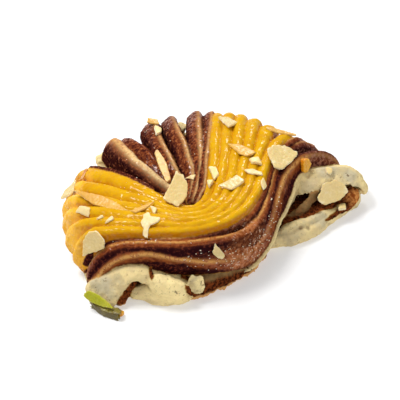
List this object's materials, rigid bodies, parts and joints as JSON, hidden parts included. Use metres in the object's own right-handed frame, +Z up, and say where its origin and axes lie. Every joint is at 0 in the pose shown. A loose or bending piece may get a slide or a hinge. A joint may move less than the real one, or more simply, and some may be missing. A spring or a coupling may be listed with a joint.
{
  "type": "braided fan pastry",
  "caption": "Filled sweet pastry of thin dough strands bent round and fanned out on a folded sheet, with sliced almonds, chopped nuts and candied peel on top.",
  "frame": {"origin": "on the board, under the middle of the pastry's plan", "axes": "+Z up; the bend of the strand bundle faces -Y and +X; the fan's tips point to -X and +Y"},
  "size_m": [0.1274, 0.115, 0.0325],
  "materials": {
    "crust": "baked dough strands, egg-yellow and cocoa-brown, glazed, on cream dough",
    "almond": "pale sliced almond, waxy",
    "toasted_almond": "sliced almond toasted to tan",
    "coconut": "dry shredded coconut",
    "pistachio": "chopped pistachio",
    "peel": "sugared candied orange peel"
  },
  "bodies": {
    "root": {"pastry": "crust", "almond_flake_1": "almond", "almond_flake_2": "almond", "almond_flake_3": "almond", "almond_flake_4": "almond", "almond_flake_5": "almond", "almond_flake_6": "almond", "almond_flake_7": "almond", "almond_flake_8": "almond", "toasted_flake_1": "toasted_almond", "toasted_flake_2": "toasted_almond", "toasted_flake_3": "toasted_almond", "toasted_flake_4": "toasted_almond", "toasted_flake_5": "toasted_almond", "almond_sliver_1": "toasted_almond", "almond_sliver_2": "toasted_almond", "nut_chip_1": "almond", "nut_chip_2": "almond", "nut_chip_3": "almond", "nut_chip_4": "almond", "nut_chip_5": "almond", "nut_chip_6": "almond", "nut_chip_7": "almond", "coconut_shred_1": "coconut", "coconut_shred_2": "coconut", "coconut_shred_3": "coconut", "coconut_shred_4": "coconut", "coconut_shred_5": "coconut", "coconut_shred_6": "coconut", "coconut_shred_7": "coconut", "candied_peel_1": "peel", "candied_peel_2": "peel", "pistachio": "pistachio", "pistachio_sliver": "pistachio"}
  },
  "joints": []
}
